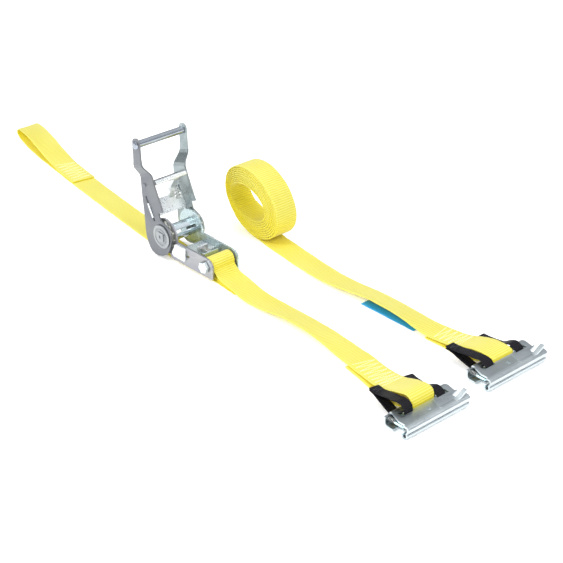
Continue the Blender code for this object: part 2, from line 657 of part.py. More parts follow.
loop_strap_rows = [
    (96.0, -2.6, 0.7, 0.0), (86.0, -1.8, 0.7, 0.0), (76.0, -1.0, 0.7, 0.0),
    (60.0, 0.0, 0.75, 0.0), (20.0, 0.0, 0.8, 0.0), (0.0, 0.6, 0.9, 0.0),
    (-30.0, 3.6, 1.0, 0.0), (-64.0, 7.8, 0.8, 0.0), (-93.0, 11.6, 0.75, 0.0),
    (-125.0, 15.8, 0.75, 0.0), (-153.0, 19.6, 0.75, 0.0), (-180.0, 23.4, 0.75, 0.0),
    (-205.0, 27.0, 0.75, 0.0), (-228.0, 30.6, 0.8, 0.0), (-250.0, 33.8, 0.9, 0.0),
    (-272.0, 37.0, 1.2, 0.0), (-295.0, 41.4, 1.6, 0.0), (-312.0, 45.0, 2.4, 0.0),
    (-322.0, 47.0, 3.6, 0.0), (-328.5, 48.2, 5.6, 0.0), (-331.3, 48.7, 8.4, 0.0),
    (-330.0, 48.5, 11.4, 0.0), (-325.0, 47.4, 13.4, 0.0), (-315.0, 45.4, 14.4, 0.0),
    (-300.0, 42.2, 14.4, 0.0), (-285.0, 39.4, 12.6, 0.0), (-270.0, 36.8, 9.6, 0.0),
    (-255.0, 34.6, 6.4, 0.0), (-242.0, 32.7, 4.0, 0.0), (-228.0, 30.6, 2.7, 0.0),
    (-212.0, 28.2, 2.4, 0.0), (-192.0, 25.1, 2.4, 0.0),
]
ribbon("hand_loop_strap", loop_strap_rows, WEB_W, WEB_T, YELLOW)

long_rows = loop_rows(
    FIT_2, 70.2, BAR_OVER_2,
    [(262.0, 68.6, 0.9, 0.0), (276.0, 69.0, 0.9, 0.0), (290.0, 69.4, 1.1, 0.0),
     (300.0, 69.4, 1.6, 0.0)],
    [(264.0, 69.4, 2.8, 0.6), (250.0, 69.4, 3.2, 2.4), (236.0, 70.6, 3.8, 4.6),
     (218.0, 71.8, 4.2, 5.4), (200.0, 72.4, 4.2, 5.6), (186.0, 72.6, 4.1, 5.4),
     (170.0, 71.6, 3.4, 4.4), (152.0, 70.4, 2.6, 3.2), (130.0, 70.6, 1.8, 1.6),
     (104.0, 73.4, 1.2, 0.6), (80.0, 76.8, 0.9, 0.2), (58.0, 80.0, 0.75, 0.0),
     (38.0, 82.6, 0.7, 0.0), (18.0, 84.5, 0.7, 0.0)])
ribbon("long_strap", long_rows, WEB_W, WEB_T, YELLOW)


def oval(cx, cz, half_a, half_b, turn, steps=36):
    t = math.radians(turn)
    out = []
    for a, b in circle(0.0, 0.0, 1.0, steps):
        a *= half_a
        b *= half_b
        out.append((cx + a * math.cos(t) - b * math.sin(t), cz + a * math.sin(t) + b * math.cos(t)))
    return out


outer = oval(*COIL_OUT)
inner = oval(*COIL_IN)
count = len(outer)
coil_verts = []
coil_faces = []
for ring in (outer, inner):
    for y in COIL_Y:
        coil_verts += [(a, y, b) for a, b in ring]
for i in range(count):
    j = (i + 1) % count
    coil_faces.append((i, j, count + j, count + i))
    coil_faces.append((2 * count + i, 2 * count + j, 3 * count + j, 3 * count + i))
    coil_faces.append((i, j, 2 * count + j, 2 * count + i))
    coil_faces.append((count + i, count + j, 3 * count + j, 3 * count + i))
coil = add("long_strap_coil", coil_verts, coil_faces, YELLOW)
smooth_sides(coil)

tag = prism("label_tag", rounded(215.0, 66.8, 32.0, 9.2, 1.0, 2), 0.1, 0.7, xy, BLUE)

for obj in bpy.data.objects:
    obj.location.x -= ORIGIN[0] * MM
    obj.location.y -= ORIGIN[1] * MM
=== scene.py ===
"""Looks of the ratchet tie down: woven straps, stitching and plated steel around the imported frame.

Routes are in millimetres in the ratchet's own frame, as the part draws them: X along the straps
towards the track fittings, Y across the webbing, Z up. ORIGIN is that frame's shift to the row.
"""
import json
import math

import bpy
from mathutils import Matrix, Vector


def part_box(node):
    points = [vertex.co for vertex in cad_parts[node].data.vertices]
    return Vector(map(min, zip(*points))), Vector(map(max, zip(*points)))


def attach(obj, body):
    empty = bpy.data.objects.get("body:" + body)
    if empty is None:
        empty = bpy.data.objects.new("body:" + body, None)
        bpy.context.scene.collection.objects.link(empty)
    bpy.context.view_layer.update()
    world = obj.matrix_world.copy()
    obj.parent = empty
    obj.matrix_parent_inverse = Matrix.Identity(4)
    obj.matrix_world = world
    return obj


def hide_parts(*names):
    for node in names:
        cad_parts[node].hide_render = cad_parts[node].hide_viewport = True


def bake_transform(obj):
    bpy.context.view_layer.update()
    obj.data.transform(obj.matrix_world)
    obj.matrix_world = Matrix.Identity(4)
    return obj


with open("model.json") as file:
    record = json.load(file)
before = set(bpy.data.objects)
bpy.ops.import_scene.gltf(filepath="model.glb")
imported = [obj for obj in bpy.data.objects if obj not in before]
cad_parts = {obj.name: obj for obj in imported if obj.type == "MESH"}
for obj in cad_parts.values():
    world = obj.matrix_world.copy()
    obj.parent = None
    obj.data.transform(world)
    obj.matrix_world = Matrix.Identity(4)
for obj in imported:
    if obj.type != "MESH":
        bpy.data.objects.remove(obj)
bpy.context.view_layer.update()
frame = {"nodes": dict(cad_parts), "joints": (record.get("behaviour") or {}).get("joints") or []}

MM = 0.001
ORIGIN = Vector((14.2, 18.25, 0.0))

WEB_W = 25.4
WEB_T = 1.2
TAB_W = 10.0
TAB_T = 1.2


def row_point(p):
    """A point of the ratchet's frame, in metres in the row frame."""
    return (Vector(p) - ORIGIN) * MM


# Camera, light and floor -------------------------------------------------------------------

AZIMUTH = math.radians(48.0)
ELEVATION = math.radians(28.7)
CAMERA_AT = (1019.4, -790.3, 673.9)
LENS = 98.28
SENSOR = 36.0

camera_data = bpy.data.cameras.new("camera")
camera_data.sensor_width = SENSOR
camera_data.lens = LENS
camera = bpy.data.objects.new("camera", camera_data)
right = Vector((math.cos(AZIMUTH), math.sin(AZIMUTH), 0.0))
ahead = Vector((-math.sin(AZIMUTH) * math.cos(ELEVATION),
                math.cos(AZIMUTH) * math.cos(ELEVATION), -math.sin(ELEVATION)))
upward = right.cross(ahead)
camera.matrix_world = (Matrix.Translation(row_point(CAMERA_AT))
                       @ Matrix((right, upward, -ahead)).transposed().to_4x4())
bpy.context.scene.collection.objects.link(camera)
bpy.context.scene.camera = camera
bpy.context.scene.view_settings.view_transform = "Standard"


def link_nodes(tree, *pairs):
    """Links each pair's first socket to its second."""
    for source, target in pairs:
        tree.links.new(source, target)


# The steel reflects a sky in grey bands: how high each stands, and how bright it is.
HORIZON = (0.13, 0.14, 0.16)
BANDS = ((0.10, 0.34), (0.26, 0.50), (0.40, 0.38), (0.56, 0.40), (0.68, 0.85))
BAND_TINT = (0.97, 0.99, 1.03)
ZENITH = 0.9

world = bpy.data.worlds.new("studio")
world.use_nodes = True
bpy.context.scene.world = world
wt = world.node_tree
background = wt.nodes["Background"]
place = wt.nodes.new("ShaderNodeTexCoord")
split = wt.nodes.new("ShaderNodeSeparateXYZ")
ramp = wt.nodes.new("ShaderNodeValToRGB")
link_nodes(wt, (place.outputs["Generated"], split.inputs[0]),
           (split.outputs["Z"], ramp.inputs[0]),
           (ramp.outputs[0], background.inputs["Color"]))
ramp.color_ramp.elements[0].position = 0.0
ramp.color_ramp.elements[0].color = (*HORIZON, 1.0)
ramp.color_ramp.elements[1].position = ZENITH
ramp.color_ramp.elements[1].color = (1.0, 1.0, 1.0, 1.0)
for height, level in BANDS:
    band = ramp.color_ramp.elements.new(height)
    band.color = (*(level * share for share in BAND_TINT), 1.0)
background.inputs["Strength"].default_value = 1.0
# The camera itself sees plain white behind the floor.
seen = wt.nodes.new("ShaderNodeBackground")
seen.inputs["Color"].default_value = (1.0, 1.0, 1.0, 1.0)
camera_ray = wt.nodes.new("ShaderNodeLightPath").outputs["Is Camera Ray"]
chosen = wt.nodes.new("ShaderNodeMixShader")
link_nodes(wt, (camera_ray, chosen.inputs[0]), (background.outputs[0], chosen.inputs[1]),
           (seen.outputs[0], chosen.inputs[2]),
           (chosen.outputs[0], wt.nodes["World Output"].inputs[0]))


def softbox(name, at, size, power, aim=(0.05, 0.0, 0.0)):
    """A rectangular lamp at a place in the row frame, turned towards aim."""
    data = bpy.data.lights.new(name, "AREA")
    data.shape = "RECTANGLE"
    data.size, data.size_y = size
    data.energy = power
    lamp = bpy.data.objects.new(name, data)
    lamp.location = at
    lamp.rotation_euler = (Vector(aim) - Vector(at)).to_track_quat("-Z", "Y").to_euler()
    bpy.context.scene.collection.objects.link(lamp)


softbox("key_softbox", (-0.7, -1.3, 1.5), (1.3, 0.8), 26.0)
softbox("fill_softbox", (1.6, 0.4, 1.3), (0.8, 1.2), 18.0)
softbox("top_softbox", (0.3, 0.3, 2.2), (1.0, 0.8), 12.0)
softbox("front_softbox", (0.9, -1.5, 0.8), (1.0, 0.8), 15.0)


def new_material(name, colour, roughness, metallic=0.0):
    """A material, its node tree and its Principled node."""
    mat = bpy.data.materials.new(name)
    mat.use_nodes = True
    shader = mat.node_tree.nodes["Principled BSDF"]
    shader.inputs["Base Color"].default_value = (*colour, 1.0)
    shader.inputs["Roughness"].default_value = roughness
    shader.inputs["Metallic"].default_value = metallic
    return mat, mat.node_tree, shader


FLOOR_GLOW = 0.18
FLOOR_SIZE = 12.0
FLOOR_DROP = 0.0004

floor_mat, floor_tree, floor_shader = new_material("floor", (0.93, 0.93, 0.93), 0.9)
floor_shader.inputs["Emission Color"].default_value = (1.0, 1.0, 1.0, 1.0)
floor_shader.inputs["Emission Strength"].default_value = FLOOR_GLOW
floor_noise = floor_tree.nodes.new("ShaderNodeTexNoise")
floor_noise.inputs["Scale"].default_value = 3.0
floor_ramp = floor_tree.nodes.new("ShaderNodeValToRGB")
floor_ramp.color_ramp.elements[0].color = (0.92, 0.92, 0.92, 1.0)
floor_ramp.color_ramp.elements[1].color = (0.94, 0.94, 0.94, 1.0)
link_nodes(floor_tree, (floor_noise.outputs["Fac"], floor_ramp.inputs[0]),
           (floor_ramp.outputs[0], floor_shader.inputs["Base Color"]))
bpy.ops.mesh.primitive_plane_add(size=FLOOR_SIZE, location=(0.0, 0.0, -FLOOR_DROP))
floor = bpy.context.object
floor.name = "floor"
floor.data.materials.append(floor_mat)


# Materials ---------------------------------------------------------------------------------

def math_node(tree, operation, a, b=None, clamp=False):
    """A Math node; a and b are sockets or numbers."""
    node = tree.nodes.new("ShaderNodeMath")
    node.operation = operation
    node.use_clamp = clamp
    for i, value in enumerate((a, b)):
        if value is None:
            continue
        if isinstance(value, (int, float)):
            node.inputs[i].default_value = value
        else:
            tree.links.new(value, node.inputs[i])
    return node.outputs[0]


def noise_node(tree, vector, scale, detail=3.0, stretch=None):
    """Noise along vector, which stretch scales on each axis first."""
    node = tree.nodes.new("ShaderNodeTexNoise")
    node.inputs["Scale"].default_value = scale
    node.inputs["Detail"].default_value = detail
    if stretch:
        mapping = tree.nodes.new("ShaderNodeMapping")
        mapping.inputs["Scale"].default_value = stretch
        tree.links.new(vector, mapping.inputs["Vector"])
        vector = mapping.outputs[0]
    tree.links.new(vector, node.inputs["Vector"])
    return node.outputs["Fac"]


def ramp_node(tree, factor, stops):
    """A colour ramp with a colour at each stop's position."""
    node = tree.nodes.new("ShaderNodeValToRGB")
    elements = node.color_ramp.elements
    while len(elements) < len(stops):
        elements.new(0.5)
    for element, (position, colour) in zip(elements, stops):
        element.position = position
        element.color = (*colour, 1.0)
    tree.links.new(factor, node.inputs[0])
    return node.outputs[0]


def grey_ramp(tree, factor, *stops):
    """A ramp of greys: each stop is its position and its level."""
    return ramp_node(tree, factor, [(position, (level,) * 3) for position, level in stops])


def mix_colour(tree, factor, a, b):
    """Mixes colours a and b, each a socket or a colour, by factor."""
    node = tree.nodes.new("ShaderNodeMix")
    node.data_type = "RGBA"
    sockets = node.inputs["Factor"], node.inputs[6], node.inputs[7]
    for socket, value in zip(sockets, (factor, a, b)):
        if isinstance(value, (int, float)):
            socket.default_value = value
        elif isinstance(value, tuple):
            socket.default_value = (*value, 1.0)
        else:
            tree.links.new(value, socket)
    return node.outputs[2]


def bump_node(tree, shader, height, distance):
    """Raises the shader's surface by height, at most distance in metres."""
    node = tree.nodes.new("ShaderNodeBump")
    node.inputs["Distance"].default_value = distance
    node.inputs["Strength"].default_value = 1.0
    tree.links.new(height, node.inputs["Height"])
    tree.links.new(node.outputs[0], shader.inputs["Normal"])


# The bound edge of a webbing, how far the occlusion probe of the webbing's painted shade looks for
# surfaces that hide it, and the depth of the zinc's crystals, in mm.
EDGE_BAND = 1.1
PAINTED_SHADE_REACH = 60.0
CRYSTAL_DEPTH = 0.05


def woven(name, light, deep, rib, yarn, width, relief, roughness=0.8, sheen=0.1, gloss=0.5,
          painted_shade_gold=None):
    """Webbing: ribs across it every rib mm and warp yarns yarn mm wide, with bound edges.

    It is light on the yarns and deep between them, a painted shade in the weave's grooves over a
    real patchy tone. Where an occlusion probe finds the webbing hidden, it takes a painted shade
    colour: a saturated gold that stands in for light passing through thin webbing.
    """
    mat, tree, shader = new_material(name, light, roughness)

    def do(operation, a, b=None, clamp=False):
        return math_node(tree, operation, a, b, clamp)

    def wave(turns):
        return do("MULTIPLY", do("ADD", do("SINE", do("MULTIPLY", turns, 2 * math.pi)), 1.0), 0.5)

    uv = tree.nodes.new("ShaderNodeUVMap")
    uv.uv_map = "UVMap"
    parts = tree.nodes.new("ShaderNodeSeparateXYZ")
    tree.links.new(uv.outputs[0], parts.inputs[0])
    across = do("DIVIDE", parts.outputs["X"], yarn * MM)
    along = do("DIVIDE", parts.outputs["Y"], rib * MM)
    stagger = do("MULTIPLY", do("MODULO", do("FLOOR", along), 2.0), 0.5)
    yarns = wave(do("ADD", across, stagger))
    weave = do("ADD", do("MULTIPLY", wave(along), 0.7), do("MULTIPLY", yarns, 0.3))
    half = width * MM / 2
    from_edge = do("SUBTRACT", half, do("ABSOLUTE", do("SUBTRACT", parts.outputs["X"], half)))
    edge = do("SUBTRACT", 1.0, do("DIVIDE", from_edge, EDGE_BAND * MM), clamp=True)
    fibre = noise_node(tree, uv.outputs[0], 2600.0, 2.0)
    patch = noise_node(tree, uv.outputs[0], 24.0, 3.0, (1.0, 0.5, 1.0))
    # Painted shade: the weave wave darkens the webbing towards deep between the yarns and ribs, and
    # the noise patches and fibres add the webbing's own uneven tone.
    shade = do("ADD", do("MULTIPLY", weave, 0.55), do("MULTIPLY", patch, 0.45))
    shade = do("ADD", shade, do("MULTIPLY", do("SUBTRACT", fibre, 0.5), 0.3))
    colour = ramp_node(tree, shade, [(0.2, deep), (0.72, light)])
    colour = mix_colour(tree, do("MULTIPLY", edge, 0.6), colour, light)
    # Painted shade: where the occlusion probe finds the webbing hidden, its colour turns towards a
    # ribbed, saturated gold.
    if painted_shade_gold:
        shade_probe = tree.nodes.new("ShaderNodeAmbientOcclusion")
        shade_probe.samples = 6
        shade_probe.inputs["Distance"].default_value = PAINTED_SHADE_REACH * MM
        open_share = grey_ramp(tree, shade_probe.outputs["AO"], (0.45, 0.0), (0.95, 1.0))
        ribbed_painted_shade = mix_colour(tree, weave, tuple(c * 0.7 for c in painted_shade_gold), painted_shade_gold)
        colour = mix_colour(tree, open_share, ribbed_painted_shade, colour)
    tree.links.new(colour, shader.inputs["Base Color"])
    bump_node(tree, shader, do("ADD", weave, do("MULTIPLY", fibre, 0.25)), relief * MM)
    shader.inputs["Specular IOR Level"].default_value = gloss
    shader.inputs["Sheen Weight"].default_value = sheen
    shader.inputs["Sheen Roughness"].default_value = 0.4
    return mat


def thread(name, dark, light, roughness):
    """Sewing thread, mottled from dark to light."""
    mat, tree, shader = new_material(name, light, roughness)
    coord = tree.nodes.new("ShaderNodeTexCoord").outputs["Object"]
    colour = ramp_node(tree, noise_node(tree, coord, 1400.0), [(0.3, dark), (0.7, light)])
    tree.links.new(colour, shader.inputs["Base Color"])
    return mat


def plated(name, light, shade, warm, roughness, spread=0.12, grain=900.0, scratch=0.35,
           metal=0.85):
    """Zinc plate: fine crystal grain, cloudy warm and cool patches and scratches, with a painted
    highlight on its convex edges.
    """
    mat, tree, shader = new_material(name, light, roughness, metal)

    def do(operation, a, b):
        return math_node(tree, operation, a, b)

    coord = tree.nodes.new("ShaderNodeTexCoord").outputs["Object"]
    fine = noise_node(tree, coord, grain, 2.0)
    cloud = noise_node(tree, coord, 55.0, 4.0)
    tint = noise_node(tree, coord, 28.0, 2.0)
    lines = noise_node(tree, coord, 420.0, 2.0, (0.08, 1.0, 1.0))
    colour = ramp_node(tree, cloud, [(0.3, shade), (0.68, light)])
    colour = mix_colour(tree, grey_ramp(tree, tint, (0.48, 0.0), (0.7, 0.55)), colour, warm)
    colour = mix_colour(tree, do("MULTIPLY", fine, 0.22), colour, tuple(c * 0.7 for c in shade))
    # Painted highlight: where Pointiness finds a convex edge, the colour turns lighter than the
    # plate.
    pointed = tree.nodes.new("ShaderNodeNewGeometry").outputs["Pointiness"]
    painted_edge_highlight = grey_ramp(tree, pointed, (0.52, 0.0), (0.62, 0.7))
    colour = mix_colour(tree, painted_edge_highlight, colour, tuple(min(1.0, c * 1.2) for c in light))
    tree.links.new(colour, shader.inputs["Base Color"])
    gloss = do("ADD", roughness - spread / 2, do("MULTIPLY", cloud, spread))
    gloss = do("ADD", gloss, do("MULTIPLY", do("SUBTRACT", fine, 0.5), 0.16))
    tree.links.new(gloss, shader.inputs["Roughness"])
    height = do("ADD", do("MULTIPLY", fine, 0.6), do("MULTIPLY", lines, scratch))
    bump_node(tree, shader, height, CRYSTAL_DEPTH * MM)
    return mat


# The yellow webbing's last colour is its painted shade: the saturated gold of its hollows.
yellow = woven("yellow_webbing", (0.64, 0.61, 0.135), (0.53, 0.445, 0.010), 2.2, 0.9, WEB_W,
               0.30, 0.8, 0.25, painted_shade_gold=(0.88, 0.74, 0.01))
black = woven("black_webbing", (0.007, 0.0065, 0.011), (0.001, 0.001, 0.002), 1.7, 1.0, TAB_W,
              0.5, 0.5, 0.0, 0.18)
blue = woven("blue_label", (0.010, 0.30, 0.60), (0.006, 0.24, 0.50), 0.5, 0.5, 18.0,
             0.05, 0.5, 0.1)
cream_thread = thread("cream_thread", (0.80, 0.68, 0.36), (0.94, 0.88, 0.62), 0.6)
black_thread = thread("black_thread", (0.02, 0.02, 0.03), (0.07, 0.07, 0.09), 0.5)

zinc = plated("zinc_plate", (0.36, 0.365, 0.40), (0.25, 0.255, 0.285), (0.34, 0.335, 0.27), 0.32)
# Painted light: a lighter, teal copy of the zinc for the right frame plate and the cross tie, for
# the lit inside of the frame.
zinc_painted_lit = plated("zinc_painted_lit", (0.49, 0.59, 0.61), (0.37, 0.47, 0.49), (0.45, 0.52, 0.45),
                    0.28, metal=0.75)
zinc_wheel = plated("zinc_wheel", (0.46, 0.47, 0.40), (0.32, 0.33, 0.29), (0.42, 0.40, 0.28), 0.3)
zinc_handle = plated("zinc_handle", (0.21, 0.22, 0.236), (0.15, 0.16, 0.175), (0.20, 0.20, 0.185),
                     0.42)
zinc_arm = plated("zinc_arm", (0.34, 0.39, 0.40), (0.22, 0.26, 0.27), (0.32, 0.35, 0.33), 0.3)
bright = plated("bright_zinc", (0.66, 0.74, 0.78), (0.42, 0.50, 0.54), (0.62, 0.66, 0.56),
                0.16, 0.1)
pawl_zinc = plated("pawl_zinc", (0.74, 0.78, 0.80), (0.52, 0.56, 0.59), (0.68, 0.70, 0.62),
                   0.28, metal=0.65)
rod_zinc = plated("rod_zinc", (0.36, 0.40, 0.45), (0.22, 0.25, 0.30), (0.34, 0.36, 0.34),
                  0.12, 0.08)
cap_zinc = plated("cap_zinc", (0.38, 0.40, 0.41), (0.24, 0.26, 0.27), (0.34, 0.35, 0.30), 0.3)
fitting_zinc = plated("fitting_zinc", (0.52, 0.575, 0.595), (0.37, 0.42, 0.44), (0.49, 0.54, 0.53),
                      0.32, 0.14, 1300.0, metal=0.97)
latch_zinc = plated("latch_zinc", (0.55, 0.76, 0.82), (0.36, 0.56, 0.62), (0.58, 0.68, 0.62),
                    0.28, metal=0.7)
wire = plated("spring_wire", (0.50, 0.51, 0.50), (0.30, 0.30, 0.295), (0.44, 0.42, 0.36), 0.3)


def assign(mat, *names):
    """Gives the CAD nodes their material."""
    for name in names:
        for spot in frame["nodes"][name].material_slots:
            spot.material = mat


assign(zinc, "frame_plate_left", "end_bolt_sleeve")
# The right frame plate and the cross tie take the painted-light copy of the zinc.
assign(zinc_painted_lit, "frame_plate_right", "frame_cross_tie")
assign(zinc_wheel, "ratchet_wheel_left", "ratchet_wheel_right")
assign(zinc_handle, "handle_plate_left", "pawl_spring_anchor")
assign(zinc_arm, "handle_plate_right")
assign(bright, "spindle_half_upper", "spindle_half_lower", "end_bolt", "end_bolt_nut")
assign(pawl_zinc, "drive_pawl", "lock_pawl")
assign(rod_zinc, "grip_rod")
assign(cap_zinc, "spindle_cap_left", "spindle_cap_right")
assign(fitting_zinc, "track_fitting_one_body", "track_fitting_two_body")
assign(latch_zinc, "track_fitting_one_latch", "track_fitting_two_latch")


# Straps ------------------------------------------------------------------------------------

def spline(points, step):
    """Catmull-Rom through rows of numbers, with rows about step apart."""
    out = []
    last = len(points) - 1
    for i in range(last):
        p0, p1, p2, p3 = points[max(i - 1, 0)], points[i], points[i + 1], points[min(i + 2, last)]
        count = max(1, round((Vector(p2[:3]) - Vector(p1[:3])).length / step))
        for k in range(count):
            t = k / count
            out.append(tuple(0.5 * (2 * b + (c - a) * t + (2 * a - 5 * b + 4 * c - d) * t * t
                                    + (3 * b - a - 3 * c + d) * t ** 3)
                             for a, b, c, d in zip(p0, p1, p2, p3)))
    out.append(tuple(points[last]))
    return out


class Strip:
    """A strap along rows of (x, y, z, lift): at each row its place, its way across, its up.

    A fifth number in a row is the strap's thickness there.
    """

    def __init__(self, rows, width):
        """Works out each row's place, its ways across and up, and the length to it."""
        self.width = width
        self.spots = []
        travelled = 0.0
        self.depths = [row[4] if len(row) > 4 else None for row in rows]
        last = len(rows) - 1
        for i, row in enumerate(rows):
            x, y, z, lift = row[:4]
            here = Vector((x, y, z))
            before, after = rows[max(i - 1, 0)], rows[min(i + 1, last)]
            along = (Vector(after[:3]) - Vector(before[:3])).normalized()
            across = Vector((0.0, 1.0, -lift / width))
            across -= along * across.dot(along)
            across.normalize()
            if i:
                travelled += (here - self.spots[-1][0]).length
            self.spots.append((here, across, along.cross(across), travelled))
        self.length = travelled

    def point(self, distance, off, height):
        """The place distance along, off the middle, height above the middle of the thickness."""
        low, high = 0, len(self.spots) - 1
        while high - low > 1:
            middle = (low + high) // 2
            if self.spots[middle][3] > distance:
                high = middle
            else:
                low = middle
        one, two = self.spots[low], self.spots[high]
        t = (distance - one[3]) / max(two[3] - one[3], 1e-9)
        across = one[1].lerp(two[1], t)
        up = one[2].lerp(two[2], t)
        return one[0].lerp(two[0], t) + across * off + up * height


def strap_mesh(name, strip, thick, mat, body, columns=8):
    """The woven strip: rounded, slightly thinner edges, a closed mesh with a UV in metres."""
    half = strip.width / 2
    offs = [-half + 0.45]
    offs += [(-1 + 2 * k / columns) * (half - 1.2) for k in range(columns + 1)]
    offs.append(half - 0.45)
    ring = [(-half, 0.0)]
    for sign in (-1, 1):
        for off in (offs if sign < 0 else offs[::-1]):
            share = 0.8 if abs(off) > half - 0.6 else 1.0
            ring.append((off, sign * 0.5 * share))
        if sign < 0:
            ring.append((half, 0.0))
    verts = []
    uvs = []
    for (here, across, up, travelled), depth in zip(strip.spots, strip.depths):
        depth = depth or thick
        wobble = 0.12 * math.sin(travelled * 0.21) + 0.08 * math.sin(travelled * 0.57 + 1.0)
        for off, share in ring:
            edge = off + wobble * (off / half) ** 3
            verts.append(row_point(here + across * edge + up * (share * depth)))
            uvs.append(((off + half) * MM, travelled * MM))
    size = len(ring)
    faces = []
    for i in range(len(strip.spots) - 1):
        for k in range(size):
            j = (k + 1) % size
            faces.append((size * i + k, size * i + j, size * (i + 1) + j, size * (i + 1) + k))
    faces.append(tuple(reversed(range(size))))
    faces.append(tuple(size * (len(strip.spots) - 1) + k for k in range(size)))
    return finish_mesh(name, verts, faces, mat, body, uvs)


def finish_mesh(name, verts, faces, mat, body, uvs=None):
    """A smooth piece that rides on body, or on none yet if that is None."""
    mesh = bpy.data.meshes.new(name)
    mesh.from_pydata([tuple(v) for v in verts], [], faces)
    if uvs:
        layer = mesh.uv_layers.new(name="UVMap")
        for corner in mesh.loops:
            layer.data[corner.index].uv = uvs[corner.vertex_index]
    mesh.validate()
    mesh.update()
    mesh.materials.append(mat)
    for poly in mesh.polygons:
        poly.use_smooth = True
    mesh.set_sharp_from_angle(angle=math.radians(70.0))
    obj = bpy.data.objects.new(name, mesh)
    bpy.context.scene.collection.objects.link(obj)
    if body:
        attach(obj, body)
    return obj


def stitches(name, lines, radius, mat, body):
    """Threads: each line is a list of points in mm, and each stitch bows out between two."""
    verts = []
    faces = []
    sides = 5
    for line in lines:
        for start, stop, out in line:
            along = stop - start
            side = out.cross(along).normalized()
            base = len(verts)
            count = 4
            for i in range(count + 1):
                t = i / count
                bow = math.sin(math.pi * t)
                middle = start + along * t + out * (radius * (bow * 1.3 - 0.5))
                girth = radius * (0.7 + 0.3 * bow)
                for k in range(sides):
                    angle = 2 * math.pi * k / sides
                    verts.append(row_point(middle + side * (math.cos(angle) * girth)
                                           + out * (math.sin(angle) * girth)))
            for i in range(count):
                for k in range(sides):
                    j = (k + 1) % sides
                    faces.append((base + sides * i + k, base + sides * i + j,
                                  base + sides * (i + 1) + j, base + sides * (i + 1) + k))
            faces.append(tuple(base + k for k in reversed(range(sides))))
            faces.append(tuple(base + sides * count + k for k in range(sides)))
    return finish_mesh(name, verts, faces, mat, body)


STITCH_SHARE = 0.86


def sweep_line(strip, start, stop, half, pitch, stitch, height):
    """A zigzag seam across the strap: stitches from edge to edge, pitch apart along it.

    Below zero, height puts the threads on the strip's other side.
    """
    line = []
    along = start
    sign = 1
    while along < stop:
        count = max(1, round(2 * half / stitch))
        for i in range(count):
            a = along + pitch * i / count
            b = along + pitch * (i + STITCH_SHARE) / count
            o1 = sign * (-half + 2 * half * i / count)
            o2 = sign * (-half + 2 * half * (i + STITCH_SHARE) / count)
            p = strip.point(a, o1, height)
            q = strip.point(b, o2, height)
            out = strip.point(a, o1, height + math.copysign(1.0, height)) - p
            line.append((p, q, out))
        along += pitch
        sign = -sign
    return line


# The fittings' places, how far their tabs lie off the middle, and the bolt with its sleeve.
FIT_1 = (361.5, -31.0)
FIT_2 = (358.5, 67.5)
TAB_Y = 18.6
BOLT = (56.0, 13.5)
SLEEVE_R = 6.0

# A strap's way round a fitting's bar: X and Z from the fitting's place, under it and over it.
BAR_UNDER = [(-46.0, 3.2), (-38.0, 5.4), (-32.0, 7.8), (-27.0, 9.1), (-23.4, 9.3),
             (-21.0, 9.4), (-19.95, 10.1), (-19.7, 11.5)]
BAR_OVER_1 = [(-19.75, 13.6), (-20.1, 16.2), (-21.4, 18.8), (-24.4, 20.5), (-28.6, 20.8),
              (-34.0, 19.4), (-41.0, 16.6), (-48.0, 13.4), (-57.0, 9.4), (-68.0, 5.8),
              (-80.0, 3.4)]
BAR_OVER_2 = [(-19.75, 13.0), (-20.6, 14.3), (-23.2, 15.1), (-27.6, 15.5), (-33.0, 15.5),
              (-38.0, 15.0), (-44.0, 13.8), (-54.0, 10.6), (-62.0, 7.6), (-71.0, 5.0),
              (-81.0, 3.4)]


def arc(cx, cy, radius, start, stop, steps):
    """Points round a centre, from start to stop in degrees."""
    return [(cx + radius * math.cos(math.radians(start + (stop - start) * i / steps)),
             cy + radius * math.sin(math.radians(start + (stop - start) * i / steps)))
            for i in range(steps + 1)]


def loop_rows(at, y_near, over, lower, upper):
    """Rows for a strap coming out of its overlap, round a fitting's bar and back."""
    rows = list(lower)
    for x, z in BAR_UNDER + over:
        t = min(max((-33.5 - x) / 48.5, 0.0), 1.0)
        rows.append((at[0] + x, at[1] + (y_near - at[1]) * t, z, 0.0))
    return rows + list(upper)


short_rows = loop_rows(
    FIT_1, -17.5, BAR_OVER_1,
    [(253.0, -15.0, 0.9, 0.0), (268.0, -18.0, 0.9, 0.0), (284.0, -21.5, 1.0, 0.0),
     (300.0, -25.0, 1.4, 0.0)],
    [(266.0, -15.2, 2.7, 0.0), (252.0, -12.4, 2.6, 0.0), (241.0, -10.2, 1.6, 0.6),
     (230.0, -8.4, 1.6, 1.6), (215.0, -6.6, 2.3, 3.0), (197.0, -5.2, 3.1, 4.6),
     (178.0, -4.6, 3.4, 5.2), (158.0, -4.6, 3.2, 4.8), (140.0, -5.2, 2.3, 2.4),
     (124.0, -5.6, 1.9, 0.8), (110.0, -5.4, 2.3, 0.2), (98.0, -4.2, 3.6, 0.0),
     (86.0, -2.4, 4.3, 0.0), (77.0, -1.0, 4.5, 0.0), (71.0, -0.4, 5.5, 0.0),
     (67.0, 0.0, 7.6, 0.0)])
for ax, az in arc(*BOLT, SLEEVE_R + 0.5 + 0.7, -18.0, 262.0, 16):
    short_rows.append((ax, 0.0, az, 0.0))
short_rows += [(58.5, 0.0, 5.6, 0.0), (64.0, 0.0, 4.0, 0.0), (71.0, -0.4, 2.8, 0.0),
               (78.0, -1.0, 2.5, 0.0), (84.0, -1.6, 2.5, 0.0), (90.0, -2.2, 2.5, 0.0)]
short_strip = Strip(spline(short_rows, 2.0), WEB_W)
short_strap = strap_mesh("short_strap_woven", short_strip, WEB_T, yellow, "frame")
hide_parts("short_strap")

